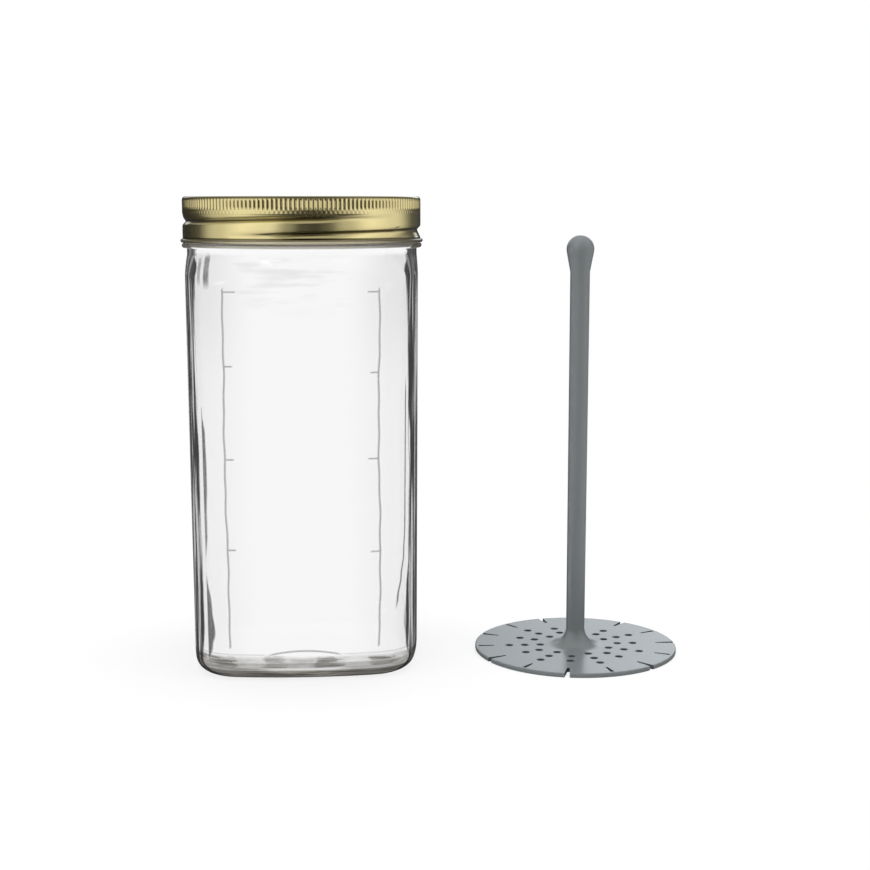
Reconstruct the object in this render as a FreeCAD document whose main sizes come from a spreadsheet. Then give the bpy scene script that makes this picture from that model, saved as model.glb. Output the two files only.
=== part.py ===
"""Pickle keeper with lift strainer: a square-shouldered preserving jar with a two-piece
screw lid, and the slotted strainer on a stem that lifts the pickles out of it.

Millimetres, +Z up. The origin is the middle of the jar's foot, on the table top, and
the jar's flat front faces -Y. The lid is on, and the lifter stands beside the jar.
"""
import FreeCAD
import Part
import Sketcher
import math
import os

SIZES = {
    # The mouth, which every other width of the jar, the lid and the lifter follows.
    "mouth_radius": 40.0,
    # Jar body: a rounded square whose four faces bulge a little.
    "shoulder_overhang": 0.3,
    "body_draft": 0.7,
    "corner_radius": 18.0,
    "face_half_angle": 8.0,
    "glass_wall": 3.0,
    "floor_thickness": 5.0,
    "heel_radius": 6.0,
    "inner_heel_radius": 5.0,
    "punt_radius": 21.0,
    "punt_depth": 2.6,
    "shoulder_start": 147.0,
    "shoulder_rise": 8.5,
    # Jar neck and finish.
    "neck_wall": 3.5,
    "neck_length": 2.4,
    "bead_stand_out": 0.4,
    "bead_height": 1.7,
    "finish_wall": 3.0,
    "finish_height": 15.3,
    "rim_round": 1.2,
    # Screw band, lid disc and rubber ring.
    "thread_room": 1.6,
    "tin_gauge": 0.4,
    "band_edge_round": 1.3,
    "window_overlap": 2.0,
    "hem_radius": 0.7,
    "hem_stand_out": 0.85,
    "hem_gap": 0.4,
    "disc_clearance": 0.1,
    "panel_inset": 4.6,
    "panel_step": 0.8,
    "panel_slope": 1.2,
    "seal_thickness": 1.3,
    "seal_overlap": 0.3,
    # Lifter: strainer plate, stem and knob in one moulding.
    "lifter_gap": 22.5,
    "lifter_forward": 6.2,
    "knob_gap": 7.5,
    "plate_clearance": 0.5,
    "plate_thickness": 1.7,
    "plate_edge_round": 0.35,
    "stem_foot_radius": 3.6,
    "stem_top_radius": 3.75,
    "flare_radius": 7.0,
    "knob_radius": 5.3,
    "knob_neck_drop": 14.0,
    "drain_rows": 7,
    "drain_hole_radius": 1.4,
    "hole_pitch": 6.15,
    "row_gap": 6.1,
    "slot_length": 7.3,
    "slot_root_width": 0.9,
    "slot_mouth_width": 2.2,
    "web_width": 1.2,
    "closed_slot_width": 1.5,
}

# How far along the shoulder's height each of its outline sections lies, and how far
# round the heel's quarter circle, in degrees up from the foot, each of its sections is.
SHOULDER_STEPS = (0.25, 0.5, 0.75, 0.92)
HEEL_TURNS = (0.0, 22.5, 45.0, 67.5)

doc = FreeCAD.newDocument("PickleKeeper")
sheet = doc.addObject("Spreadsheet::Sheet", "Sizes")
for row, (alias, number) in enumerate(SIZES.items(), start=1):
    sheet.set(f"A{row}", alias)
    sheet.set(f"B{row}", str(number))
    sheet.setAlias(f"B{row}", alias)
doc.recompute()


def named(expression):
    """The expression with every size written as a reference to the sheet."""
    words = expression.replace("(", "( ").replace(")", " )").split(" ")
    return " ".join("Sizes." + word if word in SIZES else word for word in words)


def value(expression):
    """What an expression in the sheet's sizes comes to."""
    return float(sheet.evalExpression(named(expression)))


# Heights and radii that follow from the driving sizes.
NECK_RADIUS = "(mouth_radius + neck_wall)"
SHOULDER_HALF = f"({NECK_RADIUS} + shoulder_overhang)"
FOOT_HALF = f"({SHOULDER_HALF} - body_draft)"
FINISH_RADIUS = "(mouth_radius + finish_wall)"
BAND_INNER = f"({FINISH_RADIUS} + thread_room)"
BAND_RADIUS = f"({BAND_INNER} + tin_gauge)"
BEAD_RADIUS = f"({BAND_RADIUS} + bead_stand_out)"
PLATE_RADIUS = "(mouth_radius - plate_clearance)"
SHOULDER_TOP = "(shoulder_start + shoulder_rise)"
BEAD_BOTTOM = f"({SHOULDER_TOP} + neck_length)"
BEAD_TOP = f"({BEAD_BOTTOM} + bead_height)"
RIM_TOP = f"({BEAD_TOP} + finish_height)"
SEAL_TOP = f"({RIM_TOP} + seal_thickness)"
DISC_TOP = f"({SEAL_TOP} + tin_gauge)"
LID_TOP = f"({DISC_TOP} + tin_gauge)"
HEM_CENTRE = f"({BEAD_TOP} + hem_gap + hem_radius)"
LIFTER_HEIGHT = f"({RIM_TOP} - floor_thickness - knob_gap)"


def new_body(name):
    body = doc.addObject("PartDesign::Body", name)
    body.Label = name
    return body


def new_sketch(body, name, role="XY_Plane", height=None):
    """A sketch on one of the body's own planes, raised by an expression if one is given."""
    sketch = body.newObject("Sketcher::SketchObject", name)
    plane = next(item for item in body.Origin.OriginFeatures if item.Role == role)
    sketch.AttachmentSupport = [(plane, "")]
    sketch.MapMode = "FlatFace"
    if height:
        sketch.setExpression("AttachmentOffset.Base.z", named(height))
    return sketch


def dimension(sketch, kind, places, expression):
    """A driving dimension bound to an expression in the sheet's sizes."""
    index = sketch.addConstraint(Sketcher.Constraint(kind, *places, value(expression)))
    sketch.setExpression(f"Constraints[{index}]", named(expression))


def relate(sketch, kind, *places):
    """A constraint that carries no size."""
    sketch.addConstraint(Sketcher.Constraint(kind, *places))


def place(sketch, curve, point, across, up):
    """Fix one point of a curve at a pair of expressions measured from the origin."""
    for kind, expression, axis in (("DistanceX", across, -2), ("DistanceY", up, -1)):
        number = value(expression)
        if abs(number) < 1e-9:
            relate(sketch, "PointOnObject", curve, point, axis)
        elif number > 0:
            dimension(sketch, kind, (-1, 1, curve, point), expression)
        else:
            dimension(sketch, kind, (curve, point, -1, 1), f"-1 * ({expression})")


def polygon(sketch, corners):
    """A closed outline of straight lines through corners given as expressions."""
    points = [FreeCAD.Vector(value(across), value(up), 0) for across, up in corners]
    count = len(points)
    first = sketch.GeometryCount
    for index in range(count):
        line = Part.LineSegment(points[index], points[(index + 1) % count])
        sketch.addGeometry(line)
    for index in range(count):
        relate(sketch, "Coincident", first + index, 2, first + (index + 1) % count, 1)
        place(sketch, first + index, 1, *corners[index])


def circle(sketch, across, up, radius):
    centre = FreeCAD.Vector(value(across), value(up), 0)
    curve = sketch.addGeometry(Part.Circle(centre, FreeCAD.Vector(0, 0, 1), value(radius)))
    place(sketch, curve, 3, across, up)
    dimension(sketch, "Radius", (curve,), radius)


def rounded_square(body, name, height, half, corner):
    """A square outline of eight tangent arcs: four corners and four bulged faces.

    The face arcs span the face half angle each side of their axis, so their radius
    and the corner centres follow from the half width and the corner radius.
    """
    sketch = new_sketch(body, name, height=height)
    cosine = "cos(face_half_angle * 1 deg)"
    sine = "sin(face_half_angle * 1 deg)"
    face = f"(({half} - {corner} * ({cosine} - {sine})) / (1 - {cosine} + {sine}))"
    centre = f"(({face} - {corner}) * {sine})"

    half_size, corner_size = value(half), value(corner)
    face_size, centre_size = value(face), value(centre)
    turn = math.radians(SIZES["face_half_angle"])
    up = FreeCAD.Vector(0, 0, 1)
    for quarter in range(4):
        start = quarter * math.pi / 2
        back = half_size - face_size
        face_centre = FreeCAD.Vector(back * math.cos(start), back * math.sin(start), 0)
        sketch.addGeometry(Part.ArcOfCircle(
            Part.Circle(face_centre, up, face_size), start - turn, start + turn))
        diagonal = start + math.pi / 4
        reach = centre_size * math.sqrt(2)
        corner_centre = FreeCAD.Vector(
            reach * math.cos(diagonal), reach * math.sin(diagonal), 0)
        sketch.addGeometry(Part.ArcOfCircle(
            Part.Circle(corner_centre, up, corner_size),
            start + turn, start + math.pi / 2 - turn))

    for index in range(8):
        relate(sketch, "Tangent", index, 2, (index + 1) % 8, 1)
    for quarter in range(1, 4):
        relate(sketch, "Equal", 0, 2 * quarter)
        relate(sketch, "Equal", 1, 2 * quarter + 1)
    dimension(sketch, "Radius", (0,), face)
    dimension(sketch, "Radius", (1,), corner)
    place(sketch, 1, 3, centre, centre)
    relate(sketch, "Symmetric", 1, 3, 3, 3, -2)
    relate(sketch, "Symmetric", 1, 3, 5, 3, -1, 1)
    relate(sketch, "Symmetric", 1, 3, 7, 3, -1)
    return sketch


def round_section(body, name, height, radius):
    sketch = new_sketch(body, name, height=height)
    circle(sketch, "0", "0", radius)
    return sketch


def loft(body, kind, name, sections):
    feature = body.newObject(f"PartDesign::{kind}", name)
    feature.Profile = sections[0]
    feature.Sections = sections[1:]
    return feature


def revolve(body, sketch, name, kind="Revolution"):
    feature = body.newObject(f"PartDesign::{kind}", name)
    feature.Profile = sketch
    feature.ReferenceAxis = (sketch, ["V_Axis"])
    feature.Angle = 360
    return feature


def fillet(body, name, wanted, radius):
    """Round the edges of the body's present shape that the wanted test picks."""
    doc.recompute()
    base = body.Tip
    edges = [f"Edge{number}" for number, edge in enumerate(base.Shape.Edges, start=1)
             if wanted(edge)]
    feature = body.newObject("PartDesign::Fillet", name)
    feature.Base = (base, edges)
    feature.setExpression("Radius", named(radius))
    return feature


def level_edge(height):
    """A test for edges that lie level at this height."""
    def wanted(edge):
        box = edge.BoundBox
        return abs(box.ZMin - height) < 1e-4 and abs(box.ZMax - height) < 1e-4
    return wanted


def level_circle(height, radius):
    """A test for the level circle of this radius about the body's axis."""
    at_height = level_edge(height)

    def wanted(edge):
        return at_height(edge) and abs(edge.BoundBox.XMax - radius) < 1e-3
    return wanted


def shoulder_sections(body, name, start, rise, half, corner, ring):
    """Outlines that turn the square body into the round neck over the shoulder's rise."""
    sections = []
    for number, step in enumerate(SHOULDER_STEPS, start=1):
        share = math.cos(step * math.pi / 2)
        sections.append(rounded_square(
            body, f"{name}{number}", f"{start} + {rise} * {step}",
            f"({ring} + ({half} - {ring}) * {share:.6f})",
            f"({ring} + ({corner} - {ring}) * {share:.6f})"))
    sections.append(round_section(body, f"{name}Ring", f"{start} + {rise}", ring))
    return sections


def heel_sections(body, name, bottom, half, corner, radius):
    """Outlines up a quarter-circle heel, each one inset evenly from the wall above."""
    sections = []
    for number, turn in enumerate(HEEL_TURNS, start=1):
        rise = 1 - math.cos(math.radians(turn))
        inset = 1 - math.sin(math.radians(turn))
        sections.append(rounded_square(
            body, f"{name}{number}", f"{bottom} + {radius} * {rise:.6f}",
            f"({half} - {radius} * {inset:.6f})", f"({corner} - {radius} * {inset:.6f})"))
    return sections


def make_glass_jar():
    body = new_body("glass_jar")

    # Outside: rounded heel, drafted square wall, shoulder, neck, bead and plain finish.
    foot = rounded_square(
        body, "FootSection", "heel_radius", FOOT_HALF, "corner_radius")
    brow = rounded_square(
        body, "BrowSection", "shoulder_start", SHOULDER_HALF, "corner_radius")
    loft(body, "AdditiveLoft", "Heel", heel_sections(
        body, "HeelSection", "0", FOOT_HALF, "corner_radius", "heel_radius") + [foot])
    loft(body, "AdditiveLoft", "OuterWall", [foot, brow])
    loft(body, "AdditiveLoft", "OuterShoulder", [brow] + shoulder_sections(
        body, "ShoulderSection", "shoulder_start", "shoulder_rise",
        SHOULDER_HALF, "corner_radius", NECK_RADIUS))
    finish = new_sketch(body, "FinishProfile", "XZ_Plane")
    polygon(finish, [
        ("0", SHOULDER_TOP), (NECK_RADIUS, SHOULDER_TOP), (NECK_RADIUS, BEAD_BOTTOM),
        (BEAD_RADIUS, BEAD_BOTTOM), (BEAD_RADIUS, BEAD_TOP),
        (FINISH_RADIUS, BEAD_TOP), (FINISH_RADIUS, RIM_TOP), ("0", RIM_TOP)])
    revolve(body, finish, "Finish")

    # Inside: the same forms one wall thinner, down to the thick floor.
    inner_start = "(shoulder_start - glass_wall / 2)"
    inner_rise = "(shoulder_rise - glass_wall / 2)"
    inner_half = f"({SHOULDER_HALF} - glass_wall)"
    inner_corner = "(corner_radius - glass_wall)"
    inner_foot = f"({FOOT_HALF} - glass_wall)"
    floor = rounded_square(body, "FloorSection", "floor_thickness + inner_heel_radius",
                           inner_foot, inner_corner)
    ceiling = rounded_square(body, "CeilingSection", inner_start, inner_half, inner_corner)
    loft(body, "SubtractiveLoft", "InnerHeel", heel_sections(
        body, "InnerHeelSection", "floor_thickness", inner_foot, inner_corner,
        "inner_heel_radius") + [floor])
    loft(body, "SubtractiveLoft", "InnerWall", [floor, ceiling])
    loft(body, "SubtractiveLoft", "InnerShoulder", [ceiling] + shoulder_sections(
        body, "ThroatSection", inner_start, inner_rise,
        inner_half, inner_corner, "mouth_radius"))
    throat = new_sketch(body, "ThroatProfile", "XZ_Plane")
    throat_bottom = f"({inner_start} + {inner_rise})"
    polygon(throat, [("0", throat_bottom), ("mouth_radius", throat_bottom),
                     ("mouth_radius", RIM_TOP), ("0", RIM_TOP)])
    revolve(body, throat, "Throat", "Groove")

    # The punt: a shallow spherical hollow under the floor.
    punt = new_sketch(body, "PuntProfile", "XZ_Plane")
    cap_profile(punt, "punt_radius", "punt_depth")
    revolve(body, punt, "Punt", "Groove")

    # Rounded bead and lip.
    bead = value(BEAD_RADIUS)
    bead_edges = (level_circle(value(BEAD_BOTTOM), bead), level_circle(value(BEAD_TOP), bead))
    fillet(body, "BeadRound", lambda edge: any(test(edge) for test in bead_edges),
           "bead_height * 0.45")
    fillet(body, "LipRound", level_edge(value(RIM_TOP)), "rim_round")
    return body


def cap_profile(sketch, radius, depth):
    """Half of a spherical cap that stands on the level axis."""
    cap_radius = f"(({radius} ^ 2 + {depth} ^ 2) / (2 * {depth}))"
    edge, top, ball = value(radius), value(depth), value(cap_radius)
    origin, crown, rim = (FreeCAD.Vector(*point, 0) for point in ((0, 0), (0, top), (edge, 0)))
    sketch.addGeometry(Part.LineSegment(crown, origin))
    sketch.addGeometry(Part.LineSegment(origin, rim))
    lean = math.asin(edge / ball)
    sketch.addGeometry(Part.ArcOfCircle(
        Part.Circle(FreeCAD.Vector(0, top - ball, 0), FreeCAD.Vector(0, 0, 1), ball),
        math.pi / 2 - lean, math.pi / 2))
    relate(sketch, "Coincident", 0, 2, -1, 1)
    relate(sketch, "Coincident", 1, 1, -1, 1)
    relate(sketch, "Coincident", 1, 2, 2, 1)
    relate(sketch, "Coincident", 2, 2, 0, 1)
    place(sketch, 0, 1, "0", depth)
    place(sketch, 1, 2, radius, "0")
    dimension(sketch, "Radius", (2,), cap_radius)


def make_lid_seal():
    body = new_body("lid_seal")
    profile = new_sketch(body, "SealProfile", "XZ_Plane")
    inner = "(mouth_radius - seal_overlap)"
    outer = f"({FINISH_RADIUS} + seal_overlap)"
    polygon(profile, [(inner, RIM_TOP), (outer, RIM_TOP), (outer, SEAL_TOP), (inner, SEAL_TOP)])
    revolve(body, profile, "SealRing")
    return body


def make_lid_disc():
    body = new_body("lid_disc")
    profile = new_sketch(body, "DiscProfile", "XZ_Plane")
    edge = f"({BAND_INNER} - (band_edge_round - tin_gauge) - disc_clearance)"
    panel = "(mouth_radius - panel_inset)"
    brow = f"({panel} + panel_slope)"
    polygon(profile, [
        ("0", f"({SEAL_TOP} - panel_step)"), (panel, f"({SEAL_TOP} - panel_step)"),
        (brow, SEAL_TOP), (edge, SEAL_TOP), (edge, DISC_TOP), (brow, DISC_TOP),
        (panel, f"({DISC_TOP} - panel_step)"), ("0", f"({DISC_TOP} - panel_step)")])
    revolve(body, profile, "Disc")
    return body


def make_screw_band():
    body = new_body("screw_band")
    profile = new_sketch(body, "BandProfile", "XZ_Plane")
    window = "(mouth_radius - window_overlap)"
    polygon(profile, [
        (window, DISC_TOP), (BAND_INNER, DISC_TOP), (BAND_INNER, HEM_CENTRE),
        (BAND_RADIUS, HEM_CENTRE), (BAND_RADIUS, LID_TOP), (window, LID_TOP)])
    revolve(body, profile, "Band")
    outer = level_circle(value(LID_TOP), value(BAND_RADIUS))
    inner = level_circle(value(DISC_TOP), value(BAND_INNER))
    fillet(body, "BandEdge", outer, "band_edge_round")
    fillet(body, "BandInnerEdge", inner, "band_edge_round - tin_gauge")
    hem = new_sketch(body, "HemProfile", "XZ_Plane")
    circle(hem, f"({BAND_RADIUS} + hem_stand_out - hem_radius)", HEM_CENTRE, "hem_radius")
    revolve(body, hem, "Hem")
    return body


def make_lifter():
    body = new_body("lifter")

    # Plate, tapered stem and teardrop knob turned about one axis.
    profile = new_sketch(body, "LifterProfile", "XZ_Plane")
    lifter_profile(profile)
    revolve(body, profile, "Turned")
    fillet(body, "PlateEdge", plate_rim_edge, "plate_edge_round")
    fillet(body, "Flare", level_circle(value("plate_thickness"), value("stem_foot_radius")),
           "flare_radius")

    # Drain holes and rim slots: one ray of each kind, repeated round the plate.
    slot_inner = f"({PLATE_RADIUS} - slot_length)"
    last_hole = f"({slot_inner} - row_gap)"
    short_ray = new_sketch(body, "ShortRay")
    for pitches in (0.5, 1.5):
        circle(short_ray, f"({last_hole} - hole_pitch * {pitches})", "0", "drain_hole_radius")
    slot(short_ray, 1, slot_inner, f"({PLATE_RADIUS} + web_width)",
         "slot_root_width", "slot_mouth_width")
    long_ray = new_sketch(body, "LongRay")
    for pitches in (0, 1, 2):
        circle(long_ray, f"-1 * ({last_hole} - hole_pitch * {pitches})", "0",
               "drain_hole_radius")
    slot(long_ray, -1, slot_inner, f"({PLATE_RADIUS} - web_width)",
         "slot_root_width", "closed_slot_width")
    for name, sketch in (("ShortRays", short_ray), ("LongRays", long_ray)):
        repeat_ray(body, name, sketch)

    body.setExpression(
        "Placement.Base.x", named(f"{SHOULDER_HALF} + lifter_gap + {PLATE_RADIUS}"))
    body.setExpression("Placement.Base.y", named("-1 * lifter_forward"))
    return body


def lifter_profile(sketch):
    """The half outline: plate, stem, and a cone that meets the knob at a tangent."""
    knob_centre = f"({LIFTER_HEIGHT} - knob_radius)"
    neck = f"({LIFTER_HEIGHT} - knob_neck_drop)"
    corners = [("0", "0"), (PLATE_RADIUS, "0"), (PLATE_RADIUS, "plate_thickness"),
               ("stem_foot_radius", "plate_thickness"), ("stem_top_radius", neck)]
    points = [FreeCAD.Vector(value(across), value(up), 0) for across, up in corners]
    middle = FreeCAD.Vector(0, value(knob_centre), 0)
    ball = value("knob_radius")
    reach = points[-1] - middle
    swing = math.atan2(reach.y, reach.x) + math.acos(ball / reach.Length)
    touch = middle + FreeCAD.Vector(ball * math.cos(swing), ball * math.sin(swing), 0)
    crown = middle + FreeCAD.Vector(0, ball, 0)
    for start, end in zip(points, points[1:] + [touch]):
        sketch.addGeometry(Part.LineSegment(start, end))
    sketch.addGeometry(Part.ArcOfCircle(
        Part.Circle(middle, FreeCAD.Vector(0, 0, 1), ball), swing, math.pi / 2))
    sketch.addGeometry(Part.LineSegment(crown, points[0]))
    for index, corner in enumerate(corners):
        place(sketch, index, 1, *corner)
    for index in range(4):
        relate(sketch, "Coincident", index, 2, index + 1, 1)
    relate(sketch, "Tangent", 4, 2, 5, 1)
    relate(sketch, "Coincident", 5, 2, 6, 1)
    relate(sketch, "Coincident", 6, 2, 0, 1)
    place(sketch, 5, 3, "0", knob_centre)
    dimension(sketch, "Radius", (5,), "knob_radius")
    relate(sketch, "PointOnObject", 5, 2, -2)


def plate_rim_edge(edge):
    """The two circles that bound the plate's rim."""
    return abs(edge.BoundBox.XMax - value(PLATE_RADIUS)) < 1e-3 and edge.BoundBox.ZLength < 1e-4


def slot(sketch, side, inner, outer, inner_width, outer_width):
    """A tapered slot along the level axis, on the side given as 1 or -1."""
    polygon(sketch, [
        (f"{side} * {inner}", f"-1 * {inner_width} / 2"),
        (f"{side} * {outer}", f"-1 * {outer_width} / 2"),
        (f"{side} * {outer}", f"{outer_width} / 2"),
        (f"{side} * {inner}", f"{inner_width} / 2")])


def repeat_ray(body, name, sketch):
    """Cut one ray through the plate and repeat it about the stem."""
    doc.recompute()
    before = body.Tip.Shape.Volume
    pocket = body.newObject("PartDesign::Pocket", f"{name}Cut")
    pocket.Profile = sketch
    pocket.setExpression("Length", named("plate_thickness * 2"))
    pocket.Reversed = True
    doc.recompute()
    if pocket.Shape.Volume >= before:
        raise ValueError(f"{name} cuts nothing")
    pattern = body.newObject("PartDesign::PolarPattern", name)
    pattern.Originals = [pocket]
    pattern.Axis = (sketch, ["N_Axis"])
    pattern.Angle = 360
    pattern.setExpression("Occurrences", named("drain_rows"))
    body.Tip = pattern


def check(parts):
    """Stop if any object failed, or a part isn't one valid solid."""
    for item in doc.Objects:
        if "Invalid" in item.State or "Error" in item.State:
            raise ValueError(f"{item.Name} failed: {item.State}")
    for body in parts:
        if body.Shape.isNull() or not body.Shape.isValid() or len(body.Shape.Solids) != 1:
            raise ValueError(f"{body.Label} is not one valid solid")


parts = [make_glass_jar(), make_lid_seal(), make_lid_disc(), make_screw_band(), make_lifter()]
doc.recompute()
check(parts)
os.makedirs("parts", exist_ok=True)
for body in parts:
    box = body.Shape.BoundBox
    print(f"{body.Label}: volume {body.Shape.Volume:.1f} mm3, "
          f"x {box.XMin:.2f} to {box.XMax:.2f}, y {box.YMin:.2f} to {box.YMax:.2f}, "
          f"z {box.ZMin:.2f} to {box.ZMax:.2f}")
    body.Shape.exportStep(f"parts/{body.Label}.step")
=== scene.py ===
"""Looks of the pickle keeper: a square-shouldered glass jar, its gold screw lid, and the grey
lifter with its strainer plate. Sizes below are in millimetres; the pieces are in metres.
"""

import math

import bpy
from mathutils import Matrix, Vector


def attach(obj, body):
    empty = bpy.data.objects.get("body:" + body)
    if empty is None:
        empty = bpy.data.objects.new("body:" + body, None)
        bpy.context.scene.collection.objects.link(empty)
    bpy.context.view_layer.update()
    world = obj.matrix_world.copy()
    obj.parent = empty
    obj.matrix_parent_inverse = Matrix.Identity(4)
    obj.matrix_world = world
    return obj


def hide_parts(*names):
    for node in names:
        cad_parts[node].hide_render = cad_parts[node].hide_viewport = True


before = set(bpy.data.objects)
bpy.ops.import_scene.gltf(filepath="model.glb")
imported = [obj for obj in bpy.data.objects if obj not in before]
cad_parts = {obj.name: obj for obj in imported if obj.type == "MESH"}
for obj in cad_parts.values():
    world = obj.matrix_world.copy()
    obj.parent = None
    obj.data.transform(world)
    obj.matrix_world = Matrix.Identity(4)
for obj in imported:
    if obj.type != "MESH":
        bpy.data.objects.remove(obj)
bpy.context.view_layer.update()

MM = 0.001
# Two lengths in mm that differ by less than this are the same.
TINY = 1e-6

# Glass jar.
WALL = 3.0
FOOT_HALF = 43.1
SHOULDER_HALF = 43.8
CORNER = 18.0
FACE_TURN = math.radians(8.0)
HEEL = 6.0
PUNT = 21.0
PUNT_DEPTH = 2.6
FLOOR = 5.0
FLOOR_CROWN = 0.5
INNER_HEEL = 5.0
SHOULDER_START = 147.0
SHOULDER_TOP = 155.5
NECK = 43.5
MOUTH = 40.0
BEAD_BOTTOM = 157.9
BEAD_TOP = 159.6
BEAD = 45.4
BEAD_ROUND = 0.765
FINISH = 43.0
RIM_TOP = 174.9
RIM_ROUND = 1.2
GLASS_COLUMNS = 384
# The glass hardly bends light: its finish paints shade on the edges that thick glass darkens.
GLASS_IOR = 1.002
# Two more rings of points, low on the walls and just below the shoulder, and how near to one
# or to a tick of the scale no other ring lies.
FOOT_RING = 13.0
SHOULDER_RING = 145.5
RING_ROOM = 0.9
# The scale moulded on the jar's front: two upright lines with ticks. Height of each tick, and
# how far it runs in from the left and from the right line.
LINE_BEARING = math.radians(33.9)
LINE_ARM = 52.0
LINE_HALF = 0.52
LINE_SECTION = (-LINE_HALF, -0.24, -0.08, 0.08, 0.24, LINE_HALF)
TICK_HALF = 0.45
TICK_SECTION = (-TICK_HALF, -0.15, 0.15, TICK_HALF)
TICKS = ((143.3, 4.4, 4.0), (116.7, 2.8, 0), (114.3, 0, 2.8), (82.9, 3.0, 3.2),
         (49.5, 3.4, 0), (48.4, 0, 3.4))
SCALE_FOOT = 12.5
SCALE_TOP = TICKS[0][0] + 0.5
EDGE_SLOPE = 0.3
RELIEF = 0.15
# Thread of the jar and of the band: how far it climbs in a turn, and for each the height at
# which it starts, how far it stands out or in, and how far round it ends, in radians.
LEAD = 6.0
RIDGE_START = 165.1
RIDGE_REACH = 0.95
RIDGE_HALF = 0.85
RIDGE_END = 6.9
GROOVE_START = 163.2
GROOVE_REACH = 1.25
GROOVE_END = 7.15
# Screw band.
BAND = 45.0
TIN = 0.4
LID_TOP = 177.0
WINDOW = 38.0
BAND_ROUND = 1.3
INNER_ROUND = 0.9
HEM_RADIUS = 45.15
HEM_HEIGHT = 160.55
HEM = 0.7
SKIRT_FOOT = 161.6
SKIRT_TOP = 171.0
KNURL_RIBS = 168
KNURL_FOOT = 171.9
KNURL_TOP = 176.5
KNURL_DEPTH = 0.33
BEADING_FOOT = 170.7
BEADING_DEPTH = 0.07
# Heights of the band's rings of points through its knurl and its beading.
KNURL_RINGS = (175.2, 174.2, 173.2, 172.5, 172.2, 171.9, 171.6, 171.3, 171.0, 170.7)
# Lid disc.
DISC_TOP = 176.6
DISC_COLUMNS = 144
PANEL = 35.4
PANEL_SLOPE = 1.2
PANEL_LOW = 175.4
PANEL_HIGH = 176.2
PANEL_ROUND = 0.6
DISC_EDGE = 43.2
DISC_ROUND = 0.2
# Lifter. Its rays have open slots and closed slots by turns, each with its own drain holes,
# given by how far they lie from the axis.
LIFTER_X = 105.8
LIFTER_Y = -6.2
LIFTER_TOP = 162.4
LIFTER_COLUMNS = 160
PLATE = 39.5
PLATE_THICK = 1.7
PLATE_ROUND = 0.35
PLATE_RINGS = (12.0, 28.0, 38.6)
STEM_FOOT = 3.6
STEM_TOP = 3.75
FLARE = 7.0
KNOB = 5.3
KNOB_DROP = 14.0
RAYS = 7
HOLE = 1.4
HOLE_MOUTH = 1.62
OPEN_RAY_HOLES = (23.025, 16.875)
CLOSED_RAY_HOLES = (26.1, 19.95, 13.8)
SLOT_START = 32.2
SLOT_ROOT = 0.9
SLOT_PAST_RIM = 1.2
OPEN_SLOT_END = 2.2
CLOSED_SLOT_END = 1.5


# ---------------------------------------------------------------- finishes

def tone(code):
    """A colour written as a painter's hex code, as linear numbers."""
    parts = [int(code[k:k + 2], 16) / 255 for k in (0, 2, 4)]
    return tuple(c / 12.92 if c < 0.04045 else ((c + 0.055) / 1.055) ** 2.4
                 for c in parts) + (1.0,)


def sum_up(operation, left, right):
    """A Math node on two numbers, of which at least one varies over the surface."""
    finish = left.finish if isinstance(left, Value) else right.finish
    return finish.node("Math", {"operation": operation}, {0: left, 1: right})


class Value:
    """A socket whose number varies over a surface. Arithmetic on it adds Math nodes."""

    def __init__(self, finish, socket):
        self.finish = finish
        self.socket = socket

    def __add__(self, other):
        return sum_up("ADD", self, other)

    def __radd__(self, other):
        return sum_up("ADD", other, self)

    def __sub__(self, other):
        return sum_up("SUBTRACT", self, other)

    def __rsub__(self, other):
        return sum_up("SUBTRACT", other, self)

    def __mul__(self, other):
        return sum_up("MULTIPLY", self, other)

    def __rmul__(self, other):
        return sum_up("MULTIPLY", other, self)

    def __truediv__(self, other):
        return sum_up("DIVIDE", self, other)

    def __rtruediv__(self, other):
        return sum_up("DIVIDE", other, self)

    def __pow__(self, other):
        return sum_up("POWER", self, other)

    def __abs__(self):
        return self.finish.node("Math", {"operation": "ABSOLUTE"}, {0: self})

    def at_least(self, other):
        return sum_up("MAXIMUM", self, other)

    def at_most(self, other):
        return sum_up("MINIMUM", self, other)

    def fade(self, start, end):
        """0 up to start, 1 from end on, and smooth between."""
        return self.finish.node(
            "MapRange", {"interpolation_type": "SMOOTHSTEP"},
            {"Value": self, "From Min": start, "From Max": end, "To Min": 0.0, "To Max": 1.0})


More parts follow.
